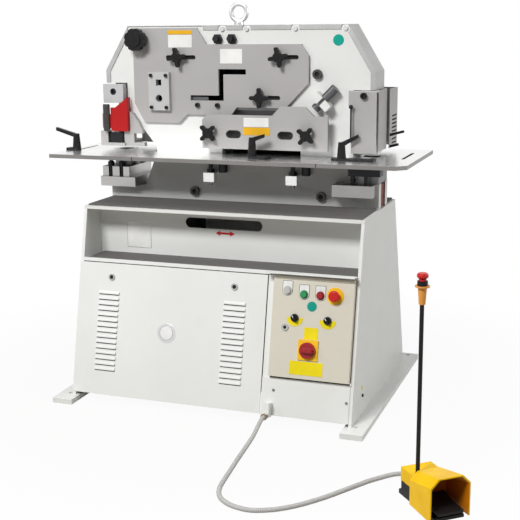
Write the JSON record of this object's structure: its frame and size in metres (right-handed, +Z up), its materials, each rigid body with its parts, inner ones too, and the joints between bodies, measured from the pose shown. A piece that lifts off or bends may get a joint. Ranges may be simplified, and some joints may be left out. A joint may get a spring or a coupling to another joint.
{
  "type": "hydraulic ironworker",
  "caption": "Floor-standing ironworker with punch, bar, angle and flat shears and a notcher on one rocker beam, sliding guards, a control panel and a foot switch on a ribbed conduit.",
  "frame": {"origin": "on the floor, in the middle of the four anchor holes", "axes": "+X to the right as seen from the front, -Y to the front, +Z up"},
  "size_m": [1.8373, 1.6188, 1.507],
  "materials": {
    "frame_paint": "ivory satin enamel",
    "guard_paint": "light grey satin enamel",
    "tool_steel": "ground steel",
    "blade_steel": "dark hardened steel",
    "black_parts": "moulded black plastic",
    "black_oxide": "black oxide steel",
    "bronze": "bearing bronze",
    "red_paint": "red enamel",
    "red_plastic": "gloss",
    "green_plastic": "gloss",
    "yellow_plastic": "satin",
    "beige_paint": "fine texture enamel",
    "mat_rubber": "ribless mat",
    "conduit_metal": "ribbed metal",
    "hydraulic_paint": "dark grey enamel"
  },
  "bodies": {
    "machine": {"front_plate": "frame_paint", "rear_plate": "frame_paint", "rim_cover": "guard_paint", "base_left_side": "frame_paint", "base_right_side": "frame_paint", "base_deck": "frame_paint", "tray_recess": "frame_paint", "rear_panel": "frame_paint", "base_rails": "frame_paint", "rubber_mats": "mat_rubber", "eyebolt": "tool_steel", "frame_bolts": "tool_steel", "pivot_pin": "tool_steel", "fixed_blades": "blade_steel", "guide_pads": "bronze", "punch_die_set": "tool_steel", "stripper": "guard_paint", "notch_die_set": "tool_steel", "notch_guard": "guard_paint", "punch_table": "tool_steel", "feed_table": "tool_steel", "notch_table": "tool_steel", "table_brackets": "tool_steel", "cylinder_barrel": "hydraulic_paint", "hydraulic_unit": "hydraulic_paint", "control_box": "beige_paint", "conduit_gland": "frame_paint", "conduit": "conduit_metal", "footswitch_base": "black_parts", "footswitch_hood": "yellow_plastic"},
    "beam": {"beam": "tool_steel"},
    "punch_ram": {"punch_ram": "guard_paint"},
    "notch_ram": {"notch_ram": "tool_steel"},
    "cylinder_rod": {"cylinder_rod": "tool_steel"},
    "angle_guard": {"angle_guard": "guard_paint"},
    "flat_guard": {"flat_guard": "guard_paint"},
    "star_knob_1": {"star_knob_1": "black_parts"},
    "star_knob_2": {"star_knob_2": "black_parts"},
    "star_knob_3": {"star_knob_3": "black_parts"},
    "star_knob_4": {"star_knob_4": "black_parts"},
    "star_knob_5": {"star_knob_5": "black_parts"},
    "lobed_knob": {"lobed_knob": "black_parts"},
    "punch_fence": {"punch_fence": "black_oxide"},
    "feed_fence": {"feed_fence": "black_oxide"},
    "notch_fence": {"notch_fence": "black_oxide"},
    "punch_clamp_lever": {"punch_clamp_lever": "black_oxide"},
    "feed_clamp_lever": {"feed_clamp_lever": "black_oxide"},
    "notch_clamp_lever": {"notch_clamp_lever": "black_oxide"},
    "hold_down_screw": {"hold_down_screw": "black_oxide"},
    "punch_guard": {"punch_guard": "red_paint"},
    "control_door": {"control_door": "beige_paint"},
    "start_button": {"start_button": "green_plastic"},
    "stop_button": {"stop_button": "red_plastic"},
    "panel_estop": {"panel_estop": "red_plastic"},
    "selector_left": {"selector_left": "black_parts"},
    "selector_right": {"selector_right": "black_parts"},
    "main_switch": {"main_switch": "red_plastic"},
    "front_door": {"front_door": "frame_paint"},
    "foot_treadle": {"foot_treadle": "black_parts"},
    "foot_estop": {"foot_estop": "red_plastic"}
  },
  "joints": [
    {"name": "beam_pivot", "type": "hinge", "parent": "machine", "child": "beam", "pos_m": [0.22999, 0, 1.21499], "axis": [0, 1, 0], "range_deg": [-1.4, 1.4]},
    {"name": "punch_ram_slide", "type": "slide", "parent": "machine", "child": "punch_ram", "axis": [0, 0, 1], "range_m": [-0.0185, 0.0185]},
    {"name": "notch_ram_slide", "type": "slide", "parent": "machine", "child": "notch_ram", "axis": [0, 0, 1], "range_m": [-0.0068, 0.0068]},
    {"name": "cylinder_rod_slide", "type": "slide", "parent": "machine", "child": "cylinder_rod", "axis": [0, 0, 1], "range_m": [-0.0119, 0.0119]},
    {"name": "angle_guard_slide", "type": "slide", "parent": "machine", "child": "angle_guard", "axis": [1, 0, 0], "range_m": [-0.018, 0.01]},
    {"name": "flat_guard_slide", "type": "slide", "parent": "machine", "child": "flat_guard", "axis": [0.7071, 0, 0.7071], "range_m": [-0.015, 0.01]},
    {"name": "star_knob_1_turn", "type": "hinge", "parent": "machine", "child": "star_knob_1", "pos_m": [-0.24102, -0.09, 1.3], "axis": [0, -1, 0], "continuous": true},
    {"name": "star_knob_2_turn", "type": "hinge", "parent": "machine", "child": "star_knob_2", "pos_m": [0.17198, -0.09, 1.30098], "axis": [0, -1, 0], "continuous": true},
    {"name": "star_knob_3_turn", "type": "hinge", "parent": "machine", "child": "star_knob_3", "pos_m": [0.09598, -0.09, 1.14999], "axis": [0, -1, 0], "continuous": true},
    {"name": "star_knob_4_turn", "type": "hinge", "parent": "machine", "child": "star_knob_4", "pos_m": [-0.10102, -0.09, 1.01701], "axis": [0, -1, 0], "continuous": true},
    {"name": "star_knob_5_turn", "type": "hinge", "parent": "machine", "child": "star_knob_5", "pos_m": [0.29002, -0.09, 1.01501], "axis": [0, -1, 0], "continuous": true},
    {"name": "lobed_knob_turn", "type": "hinge", "parent": "machine", "child": "lobed_knob", "pos_m": [-0.40902, -0.09, 1.36798], "axis": [0, -1, 0], "continuous": true},
    {"name": "punch_fence_swing", "type": "hinge", "parent": "machine", "child": "punch_fence", "pos_m": [-0.683, -0.116, 0.936], "axis": [0, 0, 1], "range_deg": [-60, 60]},
    {"name": "feed_fence_swing", "type": "hinge", "parent": "machine", "child": "feed_fence", "pos_m": [0.091, -0.167, 0.936], "axis": [0, 0, 1], "range_deg": [-40, 60]},
    {"name": "notch_fence_swing", "type": "hinge", "parent": "machine", "child": "notch_fence", "pos_m": [0.432, -0.146, 0.936], "axis": [0, 0, 1], "range_deg": [-40, 20]},
    {"name": "punch_lever_turn", "type": "hinge", "parent": "machine", "child": "punch_clamp_lever", "pos_m": [-0.683, -0.116, 0.96], "axis": [0, 0, 1], "range_deg": [-120, 120]},
    {"name": "feed_lever_turn", "type": "hinge", "parent": "machine", "child": "feed_clamp_lever", "pos_m": [0.091, -0.167, 0.96], "axis": [0, 0, 1], "range_deg": [-150, 15]},
    {"name": "notch_lever_turn", "type": "hinge", "parent": "machine", "child": "notch_clamp_lever", "pos_m": [0.432, -0.146, 0.96], "axis": [0, 0, 1], "range_deg": [-150, 5]},
    {"name": "hold_down_turn", "type": "hinge", "parent": "machine", "child": "hold_down_screw", "pos_m": [0.343, -0.094, 1.14101], "axis": [0.7071, 0, 0.7071], "continuous": true},
    {"name": "punch_guard_swing", "type": "hinge", "parent": "machine", "child": "punch_guard", "pos_m": [-0.564, -0.084, 1.05], "axis": [0, 0, 1], "range_deg": [-100, 0]},
    {"name": "control_door_hinge", "type": "hinge", "parent": "machine", "child": "control_door", "pos_m": [0.545, -0.39979, 0.35025], "axis": [0, 0.2178, 0.976], "range_deg": [0, 110]},
    {"name": "start_press", "type": "slide", "parent": "control_door", "child": "start_button", "axis": [0, 0.976, -0.2178], "range_m": [0, 0.004], "stiffness_N_per_m": 500, "springref_m": -0.002},
    {"name": "stop_press", "type": "slide", "parent": "control_door", "child": "stop_button", "axis": [0, 0.976, -0.2178], "range_m": [0, 0.004], "stiffness_N_per_m": 500, "springref_m": -0.002},
    {"name": "panel_estop_press", "type": "slide", "parent": "control_door", "child": "panel_estop", "axis": [0, 0.976, -0.2178], "range_m": [0, 0.005], "stiffness_N_per_m": 500, "springref_m": -0.002},
    {"name": "selector_left_turn", "type": "hinge", "parent": "control_door", "child": "selector_left", "pos_m": [0.331, -0.39082, 0.39045], "axis": [0, -0.976, 0.2178], "range_deg": [-90, 0]},
    {"name": "selector_right_turn", "type": "hinge", "parent": "control_door", "child": "selector_right", "pos_m": [0.45401, -0.39104, 0.38948], "axis": [0, -0.976, 0.2178], "range_deg": [-90, 0]},
    {"name": "main_switch_turn", "type": "hinge", "parent": "control_door", "child": "main_switch", "pos_m": [0.38799, -0.41536, 0.28048], "axis": [0, -0.976, 0.2178], "range_deg": [0, 90]},
    {"name": "front_door_tilt", "type": "hinge", "parent": "machine", "child": "front_door", "pos_m": [0, -0.45046, 0.03275], "axis": [1, 0, 0], "range_deg": [0, 25]},
    {"name": "treadle_press", "type": "hinge", "parent": "machine", "child": "foot_treadle", "pos_m": [0.931, -0.918, 0.026], "axis": [0.7604, 0.6494, 0], "range_deg": [0, 4], "stiffness_Nm_per_rad": 15, "springref_deg": -4.58},
    {"name": "foot_estop_press", "type": "slide", "parent": "machine", "child": "foot_estop", "axis": [0, 0, -1], "range_m": [0, 0.005], "stiffness_N_per_m": 500, "springref_m": -0.002}
  ],
  "couplings": [
    {"joint": "punch_ram_slide", "follows": "beam_pivot", "m_per_rad": 0.748},
    {"joint": "notch_ram_slide", "follows": "beam_pivot", "m_per_rad": -0.27},
    {"joint": "cylinder_rod_slide", "follows": "beam_pivot", "m_per_rad": 0.48}
  ]
}
